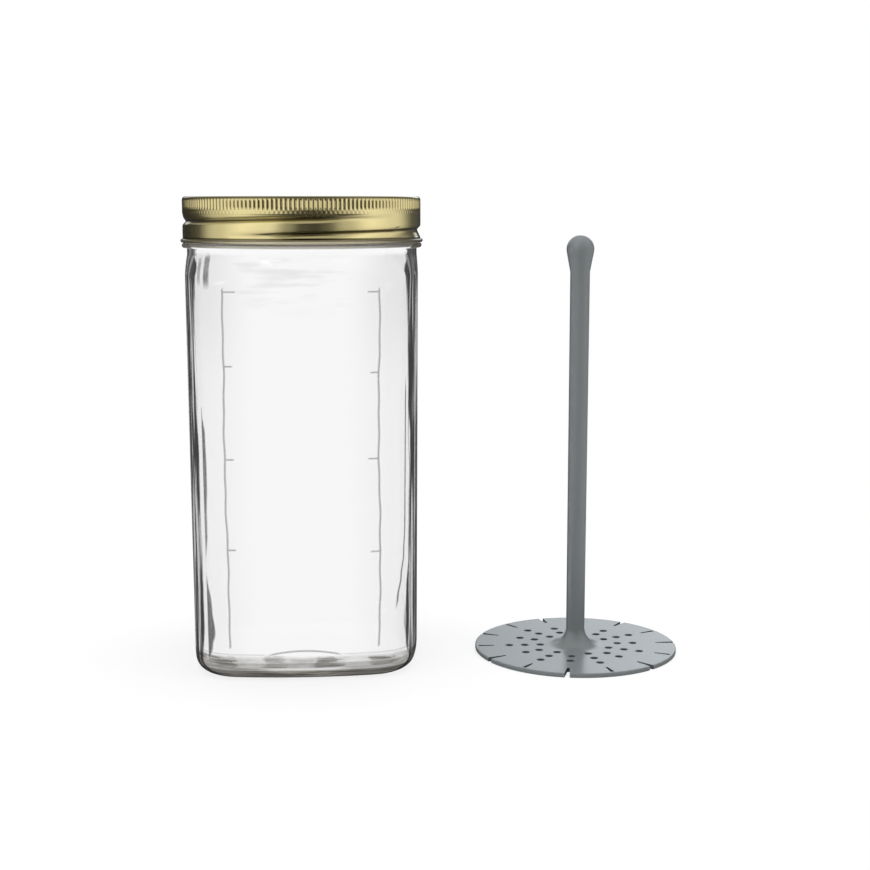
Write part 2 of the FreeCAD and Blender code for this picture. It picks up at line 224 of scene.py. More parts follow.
class Finish:
    """A node tree of a material or of the world, and the nodes added to it."""

    def __init__(self, owner):
        owner.use_nodes = True
        self.owner = owner
        self.tree = owner.node_tree
        self.tree.nodes.clear()

    def node(self, kind, settings=None, sockets=None, out=0):
        """Add a node with its settings, then the values or links of its sockets."""
        made = self.tree.nodes.new("ShaderNode" + kind)
        for key, setting in (settings or {}).items():
            if key == "stops":
                while len(made.color_ramp.elements) < len(setting):
                    made.color_ramp.elements.new(0.5)
                for stop, (place, colour) in zip(made.color_ramp.elements, setting):
                    stop.position = place
                    stop.color = colour
            elif key == "blend":
                made.color_ramp.interpolation = setting
            else:
                setattr(made, key, setting)
        for key, given in (sockets or {}).items():
            if isinstance(given, Value):
                self.tree.links.new(given.socket, made.inputs[key])
            else:
                made.inputs[key].default_value = given
        return Value(self, made.outputs[out])

    def place(self, scale=(1, 1, 1)):
        """The piece's own coordinates in metres, stretched."""
        return self.node("Mapping", None, {
            "Vector": self.node("TexCoord", None, None, "Object"), "Scale": scale})

    def noise(self, scale, stretch=(1, 1, 1), detail=3.0, roughness=0.5):
        """Cloudy variation through the piece, from 0 to 1."""
        return self.node("TexNoise", None, {
            "Vector": self.place(stretch), "Scale": scale, "Detail": detail,
            "Roughness": roughness})

    def part(self, vector, number):
        """One number of a vector."""
        return self.node("SeparateXYZ", None, {"Vector": vector}, number)

    def profile(self, height, points):
        """A number that changes up the piece: heights in mm and its value at each."""
        top = 160.0
        return self.node("ValToRGB", {
            "blend": "EASE", "stops": [(z / top, (v, v, v, 1)) for z, v in points]},
            {"Fac": height / top})

    def mix(self, share, first, second):
        """Two colours mixed."""
        return self.node("Mix", {"data_type": "RGBA"}, {0: share, 6: first, 7: second}, 2)

    def blend(self, share, first, second):
        """Two shaders mixed."""
        return self.node("MixShader", None, {0: share, 1: first, 2: second})

    def ray(self, kind):
        """1 for rays of one kind, such as Camera, Glossy or Shadow."""
        return self.node("LightPath", None, None, f"Is {kind} Ray")

    def seen(self):
        """1 where the eye looks, straight or through glass, and 0 in what metal mirrors."""
        through = self.node("LightPath", None, None, "Transmission Depth").at_most(1.0)
        return self.ray("Camera").at_least(through)

    def surface(self, shader):
        """Give the material or the world its shader."""
        kind = "World" if isinstance(self.owner, bpy.types.World) else "Material"
        output = self.tree.nodes.new("ShaderNodeOutput" + kind)
        self.tree.links.new(shader.socket, output.inputs["Surface"])
        return self.owner


def new_finish(name):
    """The empty finish of a new material."""
    return Finish(bpy.data.materials.new(name))


# Where the dark edges of the glass end, as (height, facing) up the jar: facing is 0 square on
# to the eye and 1 edge on. The dark is painted shade.
LEFT_EDGE = ((5, 0.50), (20, 0.43), (60, 0.44), (85, 0.44), (100, 0.48), (125, 0.50),
             (144, 0.42), (150, 0.39), (157, 0.62))
RIGHT_EDGE = ((5, 0.54), (12, 0.43), (20, 0.38), (32, 0.42), (45, 0.49), (90, 0.52), (102, 0.46),
              (130, 0.43), (143, 0.39), (150, 0.36), (157, 0.60))
# Where the painted shade of the fold beside the left edge starts, and where the painted dark
# thin line by the right edge runs.
LEFT_FOLD = ((6, 0.36), (12, 0.27), (18, 0.23), (26, 0.26), (42, 0.35), (55, 0.30), (75, 0.28),
             (92, 0.29), (100, 0.33), (108, 0.43), (120, 0.48))
RIGHT_LINE = ((26, 0.23), (30, 0.25), (38, 0.31), (46, 0.36), (57, 0.385), (115, 0.39))
# Soft patches of painted shade in the shoulder: middle and half width across, bottom and top
# height in mm, and how dark.
SHOULDER_STAINS = ((-36.4, 1.0, 142.5, 156.5, 0.60), (-33.6, 1.6, 142.0, 157.2, 0.72),
                   (39.2, 1.4, 147.0, 157.6, 0.75))
# Patches of painted shade in the foot of each face: how far from the face's middle, and half
# width.
FOOT_STAINS = ((10.6, 5.6), (30.5, 7.0))


class JarPoint:
    """What the jar's finish knows of each point: its place in mm and how it faces the eye."""

    def __init__(self, f):
        lean = f.part(f.node("NewGeometry", None, None, "Normal"), 2)
        self.upright = (1 - lean * lean).at_least(0.02) ** 0.5
        turned = f.node("LayerWeight", None, {"Blend": 0.5}, "Facing")
        self.facing = 1 - (1 - turned) / self.upright
        spot = f.place((1000, 1000, 1000))
        self.x, self.height = f.part(spot, 0), f.part(spot, 2)
        self.across = abs(self.x).at_most(abs(f.part(spot, 1)))
        self.right = self.x.fade(-6.0, 6.0)

    def either(self, on_left, on_right):
        """One number left of the jar's middle and another right of it."""
        return on_left * (1 - self.right) + on_right * self.right

    def between(self, bottom, full, thinning, top):
        """1 from one height to another, fading out below and above."""
        return self.height.fade(bottom, full) * (1 - self.height.fade(thinning, top))


def edge_shade(f, at):
    """How dark the glass goes at its edges, its left fold and its right line: painted shade, by
    how they face the eye.
    """
    wisp = f.noise(260.0, (1, 1, 0.16), 3.0, 0.6) - 0.5
    along = f.node("CombineXYZ", None, {
        0: at.facing * 9.0, 1: at.height * 0.014, 2: at.right * 7.0})
    streak = f.node("TexNoise", None, {
        "Vector": along, "Scale": 1.0, "Detail": 3.0, "Roughness": 0.6})

    edge = at.either(f.profile(at.height, LEFT_EDGE), f.profile(at.height, RIGHT_EDGE))
    below = 1 - at.height.fade(144.0, 150.0)
    rim = (at.facing - edge + wisp * 0.05).fade(-0.02, 0.03)
    rim = rim * (0.97 - streak.fade(0.47, 0.60) * (0.22 + below * 0.33))
    rim = rim * (1 - at.facing.fade(0.84, 0.99) * 0.12)

    fold = (at.facing - f.profile(at.height, LEFT_FOLD) + wisp * 0.06).fade(-0.015, 0.02)
    fold = fold * (1 - at.facing.fade(0.34, 0.37)) * (1 - at.height.fade(104.0, 112.0))
    fold = fold * (0.85 - streak.fade(0.45, 0.7) * 0.4)

    off_line = at.facing - f.profile(at.height, RIGHT_LINE)
    line = off_line.fade(-0.022, -0.004) * (1 - off_line.fade(0.008, 0.026))
    line = line * at.between(24.0, 30.0, 104.0, 116.0) * 0.8

    corner = at.across.fade(24.0, 29.0)
    grazing = at.facing.fade(0.80, 0.88)
    above = at.height.fade(146.5, 150.5)
    rim = rim * corner.at_least(grazing).at_least(above)
    return rim.at_least(at.either(fold, line) * corner) * (at.upright * 1.6).at_most(1.0)


def shoulder_shade(f, at):
    """Painted shade: grey towards the faces' sides, and soft dark patches and wisps in the
    shoulder.
    """
    veil = at.across.fade(14.0, 36.0) * (0.09 + at.height.fade(105.0, 145.0) * 0.09)
    turned = at.facing.fade(0.03, 0.42) * (0.14 + at.height.fade(110.0, 145.0) * 0.10)
    shade = veil.at_least(turned) * (1 - at.height.fade(155.0, 157.0))
    drips = 0.55 + f.noise(420.0, (1, 1, 0.10), 3.0, 0.6) * 0.9
    # Each soft patch of painted shade, broken up by noise.
    for middle, half, bottom, top, depth in SHOULDER_STAINS:
        stain = 1 - abs(at.x - middle).fade(half * 0.35, half)
        stain = stain * at.between(bottom, bottom + 6.0, top - 3.0, top)
        shade = shade.at_least(stain * drips * depth)
    # Mottled painted shade high in the shoulder.
    haze = f.noise(70.0, (0.5, 0.5, 4.0), 3.0, 0.55).fade(0.46, 0.70)
    return shade.at_least(haze * at.between(132.0, 148.0, 154.0, 157.0) * 0.13)


def foot_shade(f, at):
    """Painted shade in the foot, where thick glass looks dark, and painted light in pale lines
    low in it.
    """
    fine = f.noise(100.0, (0.55, 0.55, 11.0), 3.0, 0.65).fade(0.38, 0.62)
    ragged = f.noise(95.0, (0.8, 0.8, 2.8), 3.0, 0.55)
    patch = ragged.fade(0.38, 0.62) * 0.45
    place = at.across + (ragged - 0.5) * 16.0 + at.right * 2.0
    for middle, half in FOOT_STAINS:
        stain = 1 - abs(place - middle).fade(half * 0.4, half)
        patch = patch.at_least(stain * (0.62 + fine * 0.38))

    outer = at.across.fade(9.0, 19.0)
    sole = (1 - at.height.fade(3.8, 4.5)) * 0.95
    seam = (1 - at.height.fade(5.2, 5.8)) * (0.36 + outer * 0.32 + fine * 0.12)
    step = at.between(4.6, 5.3, 6.6, 7.8) * (0.60 + patch * 0.34)
    wedge_top = at.height + (ragged - 0.5) * 3.0
    wedge = at.height.fade(5.4, 6.6) * (1 - wedge_top.fade(8.2, 10.2))
    wedge = wedge * (0.26 + patch * 0.66)
    wedge = wedge.at_least(step).at_least(seam) * (0.90 + fine * 0.10)

    off_arch = abs(at.height - (11.6 - at.across * at.across * 0.009))
    arch = (1 - off_arch.fade(0.15, 0.55)) * (1 - at.across.fade(11.0, 15.0)) * 0.55
    off_brim = abs(at.height - 10.1)
    brim = (1 - off_brim.fade(0.1, 0.45)) * at.across.fade(12.0, 16.0) * 0.25
    # Painted light: pale lines across the dark sole.
    streaks = fine * (1 - outer * 0.6) * at.height.fade(0.5, 1.6)
    return sole.at_least(wedge).at_least(arch).at_least(brim), streaks


def clear_glass():
    """Clear moulded glass with painted shade where it turns away from the eye, and painted
    shade, light and reflection in its shoulder, foot, scale and bead.
    """
    f = new_finish("clear_glass")
    at = JarPoint(f)
    # The scale's raised lines and ticks are drawn dark: painted shade.
    scale = f.node("Attribute", {"attribute_name": "scale_edge"}, None, "Fac")
    dark = edge_shade(f, at).at_least(shoulder_shade(f, at)).at_least(scale * 0.55)
    base, streaks = foot_shade(f, at)
    # Where the bead gets its painted reflection.
    bead = at.between(158.3, 158.7, 160.1, 160.3)
    first = f.ray("Camera") * (1 - f.node("NewGeometry", None, None, "Backfacing"))

    clear = f.node("BsdfPrincipled", None, {
        "Base Color": tone("FCFCFC"), "Roughness": 0.0, "IOR": GLASS_IOR,
        "Transmission Weight": 1.0, "Coat Weight": at.upright.fade(0.90, 0.99) * 0.6,
        "Coat Roughness": 0.02})
    # Painted shade: a dark matt sheet mixed in where the glass turns away from the eye, in the
    # shoulder and on the scale.
    charcoal = f.node("BsdfPrincipled", None, {
        "Base Color": tone("2A2628"), "Roughness": 0.5, "IOR": 1.45, "Specular IOR Level": 0.1})
    # Painted shade of the thick foot, with painted light in pale lines low in it.
    low_olive = f.mix(streaks, tone("45423A"), tone("9C978C"))
    olive = f.node("BsdfPrincipled", None, {
        "Base Color": f.mix(at.height.fade(3.8, 4.6), low_olive, tone("66625A")),
        "Roughness": 0.5, "IOR": 1.45, "Specular IOR Level": 0.15})
    # Painted reflection on the bead under the band: pale grey-beige in front, darker towards the
    # sides as painted shade.
    pale = f.node("BsdfPrincipled", None, {
        "Base Color": f.mix(abs(at.x).fade(24.0, 39.0), tone("A29D92"), tone("5C5747")),
        "Roughness": 0.5, "IOR": 1.45, "Specular IOR Level": 0.15})
    body = f.blend(base * first, clear, olive)
    body = f.blend(dark * first, body, charcoal)
    body = f.blend(bead * first * 0.9, body, pale)
    passing = f.node("BsdfTransparent", None, {"Color": (0.93, 0.93, 0.93, 1)})
    return f.surface(f.blend(f.ray("Shadow"), body, passing))


def gold_tin():
    """Satin gold lacquer on tinplate, grey on the hem, with painted shade in the creased step
    above the hem, on the top edge, in the knurl's valleys, along the groove and where it turns
    away from the eye.
    """
    f = new_finish("gold_tin")
    cloud = f.noise(60.0, (1, 1, 3.0), 3.0)
    grain = f.noise(2400.0, (1, 1, 0.25), 2.0)
    colour = f.mix(cloud, tone("F4E6AE"), tone("ECDC9C"))
    facing = f.node("LayerWeight", None, {"Blend": 0.5}, "Facing")
    height = f.part(f.place((1000, 1000, 1000)), 2)
    valley = f.node("Attribute", {"attribute_name": "rib_valley"}, None, "Fac")
    hem = 1 - height.fade(161.3, 161.6)
    # Painted shade in the creased step above the hem and on the top edge.
    crease = height.fade(161.2, 161.5) * (1 - height.fade(161.9, 162.3))
    level = abs(f.part(f.node("NewGeometry", None, None, "Normal"), 2)).fade(0.8, 0.95)
    brow = height.fade(175.7, 176.4) * (1 - level)
    # The hem is grey, darker where it turns away from the eye: painted shade.
    worn = f.mix(facing.fade(0.06, 0.50), tone("B0A890"), tone("4E4838"))
    colour = f.mix(hem * 0.95, colour, worn)
    groove = f.node("Attribute", {"attribute_name": "groove_line"}, None, "Fac")
    # Painted shade in the creased step, on the top edge, in the knurl's valleys, along the
    # groove and where the tin turns away from the eye.
    shade = (crease * 0.85).at_least(brow * 0.8).at_least(valley * 0.3).at_least(groove)
    shade = shade.at_least(facing.fade(0.38, 0.72) * 0.55)
    colour = f.mix(shade, colour, tone("3E3822"))
    rough = 0.09 + cloud * 0.05 + (grain - 0.5) * 0.03 + hem * 0.15
    bump = f.node("Bump", None, {"Strength": 0.06, "Distance": 0.0001, "Height": grain})
    return f.surface(f.node("BsdfPrincipled", None, {
        "Base Color": colour, "Metallic": 0.965 - hem * 0.82, "Roughness": rough,
        "Normal": bump}))


def red_rubber():
    """Brick-red rubber with a slight bloom."""
    f = new_finish("red_rubber")
    bloom = f.noise(150.0, (1, 1, 1), 4.0)
    bump = f.node("Bump", None, {"Strength": 0.2, "Distance": 0.0002, "Height": bloom})
    return f.surface(f.node("BsdfPrincipled", None, {
        "Base Color": f.mix(bloom, tone("8E3A26"), tone("A04A34")), "Roughness": 0.6,
        "Normal": bump}))


def grey_moulding(name, colour):
    """Satin grey plastic with a fine moulded grain."""
    f = new_finish(name)
    grain = f.noise(2600.0, (1, 1, 1), 2.0)
    bump = f.node("Bump", None, {"Strength": 0.10, "Distance": 0.0001, "Height": grain})
    return f.surface(f.node("BsdfPrincipled", None, {
        "Base Color": tone(colour), "Roughness": 0.28, "IOR": 1.56, "Normal": bump}))


# ---------------------------------------------------------------- modelling

def clear_selection():
    """Leave edit mode and select nothing."""
    if bpy.context.object and bpy.context.object.mode != "OBJECT":
        bpy.ops.object.mode_set(mode="OBJECT")
    bpy.ops.object.select_all(action="DESELECT")


def pick(piece):
    """Select one piece alone, and make it the active one."""
    clear_selection()
    piece.select_set(True)
    bpy.context.view_layer.objects.active = piece


def turn_outwards(piece):
    """Turn the faces of a piece outwards."""
    pick(piece)
    bpy.ops.object.mode_set(mode="EDIT")
    bpy.ops.mesh.select_all(action="SELECT")
    bpy.ops.mesh.normals_make_consistent(inside=False)
    bpy.ops.object.mode_set(mode="OBJECT")


def turn(name, count, rings, closed=False):
    """A turned piece: a disc or ring of points at the first radius and height, drawn from
    ring to ring. A radius of 0 closes it at the axis; a closed one meets its first ring."""
    clear_selection()
    radius, height = rings[0]
    bpy.ops.mesh.primitive_circle_add(
        vertices=count, radius=radius * MM, location=(0, 0, height * MM))
    piece = bpy.context.object
    piece.name = piece.data.name = name
    bpy.ops.object.transform_apply(location=True, rotation=False, scale=False)
    bpy.ops.object.mode_set(mode="EDIT")
    bpy.ops.mesh.select_mode(type="EDGE")
    bpy.ops.mesh.select_all(action="SELECT")
    for wider, higher in rings[1:] + (rings[:1] if closed else []):
        bpy.ops.mesh.extrude_edges_move(
            TRANSFORM_OT_translate={"value": (0, 0, (higher - height) * MM)})
        if wider == 0:
            bpy.ops.mesh.merge(type="CENTER")
            break
        if abs(wider - radius) > TINY:
            bpy.ops.transform.resize(
                value=(wider / radius, wider / radius, 1), center_override=(0, 0, 0))
        radius, height = wider, higher
    bpy.ops.object.mode_set(mode="OBJECT")
    return piece


def press(piece, rule):
    """Move each point of a turned piece in or out: rule gives its new radius in mm from
    its present radius, its bearing in radians from the front and its height."""
    for point in piece.data.vertices:
        x, y, z = point.co / MM
        radius = math.hypot(x, y)
        if radius < TINY:
            continue
        new = rule(radius, math.atan2(x, -y), z)
        point.co.x *= new / radius
        point.co.y *= new / radius


def finish_mesh(piece, material, angle):
    """Merge doubles, turn the faces outwards, shade smooth and give the finish."""
    pick(piece)
    bpy.ops.object.mode_set(mode="EDIT")
    bpy.ops.mesh.select_all(action="SELECT")
    bpy.ops.mesh.remove_doubles(threshold=0.000002)
    bpy.ops.mesh.normals_make_consistent(inside=False)
    bpy.ops.object.mode_set(mode="OBJECT")
    bpy.ops.object.shade_smooth_by_angle(angle=math.radians(angle))
    piece.data.materials.clear()
    piece.data.materials.append(material)
    clear_selection()
    return piece


def select_first_ring(piece, count):
    """Open a turned piece for editing with its first ring selected."""
    pick(piece)
    bpy.ops.object.mode_set(mode="EDIT")
    bpy.ops.mesh.select_mode(type="VERT")
    bpy.ops.mesh.select_all(action="DESELECT")
    bpy.ops.object.mode_set(mode="OBJECT")
    for point in piece.data.vertices[:count]:
        point.select = True
    bpy.ops.object.mode_set(mode="EDIT")


def close_with_fan(piece, count):
    """Close the first ring of a turned piece with a fan to its middle."""
    select_first_ring(piece, count)
    bpy.ops.mesh.select_mode(type="EDGE")
    bpy.ops.mesh.extrude_edges_move(TRANSFORM_OT_translate={"value": (0, 0, 0.1 * MM)})
    bpy.ops.mesh.merge(type="CENTER")
    bpy.ops.object.mode_set(mode="OBJECT")


def close_level(piece, count):
    """Close the first ring of a turned piece with one level face."""
    select_first_ring(piece, count)
    bpy.ops.mesh.edge_face_add()
    bpy.ops.object.mode_set(mode="OBJECT")


def held(share):
    """A share kept between 0 and 1."""
    return min(max(share, 0), 1)


def arc(centre_r, centre_z, radius, start, end, steps):
    """Ring radii and heights round an arc, from one angle to another in degrees."""
    turns = [math.radians(start + (end - start) * k / steps) for k in range(steps + 1)]
    return [(centre_r + radius * math.cos(a), centre_z + radius * math.sin(a)) for a in turns]


def steps(start, end, gap):
    """Evenly spaced heights from start to end, both included."""
    count = max(1, round(abs(end - start) / gap))
    return [start + (end - start) * k / count for k in range(count + 1)]


def square_reach(bearing, half, corner):
    """How far from the axis the jar's rounded square lies at a bearing."""
    turn_in = abs((bearing + math.pi / 4) % (math.pi / 2) - math.pi / 4)
    cosine, sine = math.cos(FACE_TURN), math.sin(FACE_TURN)
    face = (half - corner * (cosine - sine)) / (1 - cosine + sine)
    back = face - half
    reach = -back * math.cos(turn_in) + math.sqrt(
        face ** 2 - (back * math.sin(turn_in)) ** 2)
    lean = math.atan2(reach * math.sin(turn_in), reach * math.cos(turn_in) + back)
    if lean <= FACE_TURN:
        return reach
    centre = (face - corner) * sine
    along = centre * (math.cos(turn_in) + math.sin(turn_in))
    return along + math.sqrt(along ** 2 - 2 * centre ** 2 + corner ** 2)


def body_shape(height, inner):
    """Half width and corner radius of the body at a height, outside or inside."""
    inset = WALL if inner else 0.0
    base = FLOOR if inner else 0.0
    heel = INNER_HEEL if inner else HEEL
    start = SHOULDER_START - inset / 2
    top = SHOULDER_TOP - inset
    ring = MOUTH if inner else NECK
    share = (height - HEEL) / (SHOULDER_START - HEEL)
    half = FOOT_HALF + (SHOULDER_HALF - FOOT_HALF) * held(share) - inset
    corner = CORNER - inset
    if height < base + heel:
        lean = math.acos(min(max(1 - (height - base) / heel, -1), 1))
        cut = heel * (1 - math.sin(lean))
        half, corner = half - cut, corner - cut
    if height > start:
        keep = math.cos(min((height - start) / (top - start), 1) * math.pi / 2)
        half, corner = ring + (half - ring) * keep, ring + (corner - ring) * keep
    return half, corner


def ripple(bearing, height):
    """The slow unevenness of the moulded inner wall, in mm."""
    return (0.16 * math.sin(height / 7.3 + 1.7 * math.sin(bearing * 4))
            + 0.10 * math.sin(height / 3.9 + 5 * bearing + 1.0)
            + 0.12 * math.sin(height / 12.0 + 3 * bearing))


def jar_rings():
    """Radius and height of the jar's rings, from its punt up the outside and down inside, and
    the numbers of the rings that are square: those outside and those inside."""
    punt = [(r, PUNT_DEPTH - PUNT_DEPTH * (r / PUNT) ** 2) for r in range(3, 22, 3)]
    heel = [HEEL * (1 - math.cos(math.radians(a))) for a in range(0, 90, 10)]
    ticks = [z + gap for z, _, _ in TICKS for gap in TICK_SECTION]
    plain = [z for z in steps(HEEL, SHOULDER_START, 3.0)
             if all(abs(z - tick) > RING_ROOM for tick, _, _ in TICKS)
             and abs(z - FOOT_RING) > RING_ROOM]
    walls = sorted(plain + ticks + [FOOT_RING, SHOULDER_RING])
    shoulder = steps(SHOULDER_START + 0.75, SHOULDER_TOP, 0.75)
    outer = [(body_shape(z, False)[0], z) for z in heel + walls + shoulder]

    neck = [(NECK, z) for z in steps(SHOULDER_TOP + 0.6, BEAD_BOTTOM - 0.5, 0.6)]
    bead = ([(NECK + 0.15, BEAD_BOTTOM - 0.12), (NECK + 0.5, BEAD_BOTTOM)]
            + arc(BEAD - BEAD_ROUND, BEAD_BOTTOM + BEAD_ROUND, BEAD_ROUND, -90, 0, 4)
            + arc(BEAD - BEAD_ROUND, BEAD_TOP - BEAD_ROUND, BEAD_ROUND, 0, 90, 4)
            + [(FINISH + 0.4, BEAD_TOP), (FINISH, BEAD_TOP + 0.4)])
    finish = [(FINISH, z) for z in steps(BEAD_TOP + 0.9, RIM_TOP - 1.8, 0.55)]
    lip = (arc(FINISH - RIM_ROUND, RIM_TOP - RIM_ROUND, RIM_ROUND, 0, 90, 5)
           + arc(MOUTH + RIM_ROUND, RIM_TOP - RIM_ROUND, RIM_ROUND, 90, 180, 5))
    throat = [(MOUTH, z) for z in steps(RIM_TOP - 3.0, SHOULDER_TOP - WALL, 2.0)]
    top = neck + bead + finish + lip + throat

    shoulder_in = steps(SHOULDER_TOP - WALL - 0.75, SHOULDER_START - 1.5, 0.75)
    walls_in = steps(SHOULDER_START - 4.5, FOOT_RING, 3.0) + [FLOOR + INNER_HEEL]
    heel_in = [FLOOR + INNER_HEEL * (1 - math.cos(math.radians(a))) for a in range(80, -1, -10)]
    inner = [(body_shape(z, True)[0], z) for z in shoulder_in + walls_in + heel_in]
    floor = [(r, FLOOR + FLOOR_CROWN / 2 * (1 + math.cos(math.pi * r / 33)))
             for r in range(30, 0, -3)] + [(0, FLOOR + FLOOR_CROWN)]

    outside = range(len(punt), len(punt + outer))
    inside = range(len(punt + outer + top), len(punt + outer + top + inner))
    return punt + outer + top + inner + floor, outside, inside


def make_glass_jar():
    """The jar in one closed shell, turned first and then pressed square."""
    rings, outside, inside = jar_rings()
    jar = turn("glass_jar_moulded", GLASS_COLUMNS, rings)
    slide_columns(jar)
    for number in list(outside) + list(inside):
        height = rings[number][1]
        half, corner = body_shape(height, number in inside)
        start = number * GLASS_COLUMNS
        for point in jar.data.vertices[start:start + GLASS_COLUMNS]:
            bearing = math.atan2(point.co.x, -point.co.y)
            reach = square_reach(bearing, half, corner)
            if number in inside:
                ease = held((height - 12) / 12) * held((150 - height) / 12)
                reach += ripple(bearing, height) * ease
            else:
                reach += scale_relief(bearing, height)
            now = math.hypot(point.co.x, point.co.y)
            point.co.x *= reach * MM / now
            point.co.y *= reach * MM / now
    press(jar, thread_ridge)
    close_with_fan(jar, GLASS_COLUMNS)
    mark_scale(jar)
    return finish_mesh(jar, clear_glass(), 50)


def mark_scale(jar):
    """Write how far each point stands on the scale's lines and ticks, for the finish to paint
    them dark as painted shade.
    """
    mark = jar.data.attributes.new("scale_edge", "FLOAT", "POINT")
    for number, point in enumerate(jar.data.vertices):
        x, y, z = point.co / MM
        if math.hypot(x, y) > FINISH:
            mark.data[number].value = scale_relief(math.atan2(x, -y), z) / RELIEF


def line_sway(side, height):
    """How far the scale's left or right line wanders sideways, in mm."""
    z = height + 40 * side
    return (0.10 * math.sin(z / 5.1) + 0.12 * math.sin(z / 2.3 + 1.0)
            + 0.24 * math.sin(z / 15.0 + 2.0))


def slide_columns(jar):
    """Gather the points nearest to each upright line of the scale, for its edges."""
    pitch = 2 * math.pi / GLASS_COLUMNS
    gather = {}
    for side in (-1, 1):
        first = round(side * LINE_BEARING / pitch - len(LINE_SECTION) / 2 + 0.5)
        for k, across in enumerate(LINE_SECTION):
            gather[first + k] = (side, across)
    for point in jar.data.vertices:
        radius = math.hypot(point.co.x, point.co.y)
        column = round(math.atan2(point.co.x, -point.co.y) / pitch)
        if column in gather:
            side, across = gather[column]
            sway = line_sway(side, point.co.z / MM)
            bearing = side * LINE_BEARING + (across + sway) / LINE_ARM
            point.co.x = radius * math.sin(bearing)
            point.co.y = -radius * math.cos(bearing)


def scale_relief(bearing, height):
    """How far the scale's lines and ticks stand out of the front face, in mm."""
    if abs(bearing) > LINE_BEARING + 0.04 or not SCALE_FOOT < height < SCALE_TOP:
        return 0.0
    side = -1 if bearing < 0 else 1
    from_line = side * line_sway(side, height) - (abs(bearing) - LINE_BEARING) * LINE_ARM
    rise = held((LINE_HALF - abs(from_line)) / EDGE_SLOPE)
    for tick, left, right in TICKS:
        run = left if bearing < 0 else right
        if run and -0.3 < from_line < run:
            rise = max(rise, held((TICK_HALF - abs(height - tick)) / EDGE_SLOPE))
    return RELIEF * rise


def thread_ridge(radius, bearing, height):
    """The glass finish's screw thread, a ridge that winds up round it."""
    if radius < 42 or not BEAD_TOP < height < RIM_TOP - 1.3:
        return radius
    crest = 0.0
    for lap in (0, 1, 2):
        wound = bearing + 2 * math.pi * lap
        gap = height - (RIDGE_START + LEAD * wound / (2 * math.pi))
        ends = held((wound + 0.5) / 0.5) * held((RIDGE_END - wound) / 0.5)
        crest = max(crest, ends * math.exp(-(gap / RIDGE_HALF) ** 2))
    return radius + RIDGE_REACH * crest



def rib_valley(bearing):
    """How deep between two ribs of the knurl a bearing lies, from 0 to 1."""
    return (0.5 - 0.5 * math.cos(KNURL_RIBS * bearing)) ** 2


def band_form(radius, bearing, height):
    """Knurl, fine beading and rolled thread of the screw band's skirt, as a new radius."""
    if radius < 43.8:
        return radius
    outside = radius > BAND - 0.2
    if height > KNURL_FOOT and outside:
        reach = held((height - KNURL_FOOT) / 0.6) * held((KNURL_TOP - height) / 0.8)
        return radius - KNURL_DEPTH * reach * rib_valley(bearing)
    if BEADING_FOOT < height <= KNURL_FOOT and outside:
        dot = 1 - math.cos(KNURL_RIBS * bearing + math.pi)
        share = (height - BEADING_FOOT) / (KNURL_FOOT - BEADING_FOOT)
        return radius - BEADING_DEPTH * dot * math.sin(math.pi * share)
    if SKIRT_FOOT < height < SKIRT_TOP:
        depth = 0.0
        for gap, reach, wide in groove_laps(bearing, height):
            depth = max(depth, reach * groove_form(gap, wide))
        ends = held((height - SKIRT_FOOT) / 0.5) * held((SKIRT_TOP - height) / 0.5)
        return radius - GROOVE_REACH * depth * ends
    return radius


def groove_form(gap, wide):
    """The rolled groove's section: its depth at a gap above its middle, in mm. A wide one
    rises slowly to the skirt above it, and a narrow one is as steep on both sides."""
    if gap <= 0:
        return math.exp(-(gap / (2.1 - 1.15 * wide)) ** 2)
    slow = 0.6 * max(1 - gap / 3.4, 0) ** 1.3 + 0.4 * math.exp(-(gap / 0.8) ** 2)
    return slow * wide + math.exp(-(gap / 0.9) ** 2) * (1 - wide)


def groove_laps(bearing, height):
    """Each lap of the band's rolled groove at a bearing: how far above its middle a height
    lies, how deep the lap is pressed there, and how much it widens upwards."""
    laps = []
    for lap in (0, 1):
        wound = bearing + 2 * math.pi * lap
        middle = GROOVE_START + LEAD * wound / (2 * math.pi)
        ends = held((wound + 0.6) / 0.6) * held((GROOVE_END - wound) / 0.7)
        laps.append((height - middle, ends, held((wound - 2.0) / 2.0)))
    return laps


def make_screw_band():
    """The rolled tinplate band: lip, knurl, thread groove and hem, with its inner side."""
    inner = BAND - TIN
    top_round = LID_TOP - BAND_ROUND
    rings = [(WINDOW + 0.1, LID_TOP - 0.03), (WINDOW + 0.4, LID_TOP), (43.3, LID_TOP)]
    rings += arc(BAND - BAND_ROUND, top_round, BAND_ROUND, 90, 0, 6)
    rings += [(BAND, z) for z in KNURL_RINGS]
    rings += [(BAND, z) for z in steps(170.4, 161.9, 0.25)]
    rings += arc(HEM_RADIUS, HEM_HEIGHT, HEM, 105, -90, 11)
    rings += arc(HEM_RADIUS, HEM_HEIGHT, HEM, -110, -180, 3)
    rings += [(inner, z) for z in steps(SKIRT_FOOT, 171.2, 0.8)]
    rings += [(inner, 173.5), (inner, top_round)]
    rings += arc(BAND - BAND_ROUND, top_round, INNER_ROUND, 20, 90, 4)
    rings += [(WINDOW + 0.3, DISC_TOP), (WINDOW, DISC_TOP + 0.15)]
    band = turn("screw_band_rolled", KNURL_RIBS * 4, rings, closed=True)
    press(band, band_form)
    mark_band(band)
    return finish_mesh(band, gold_tin(), 60)


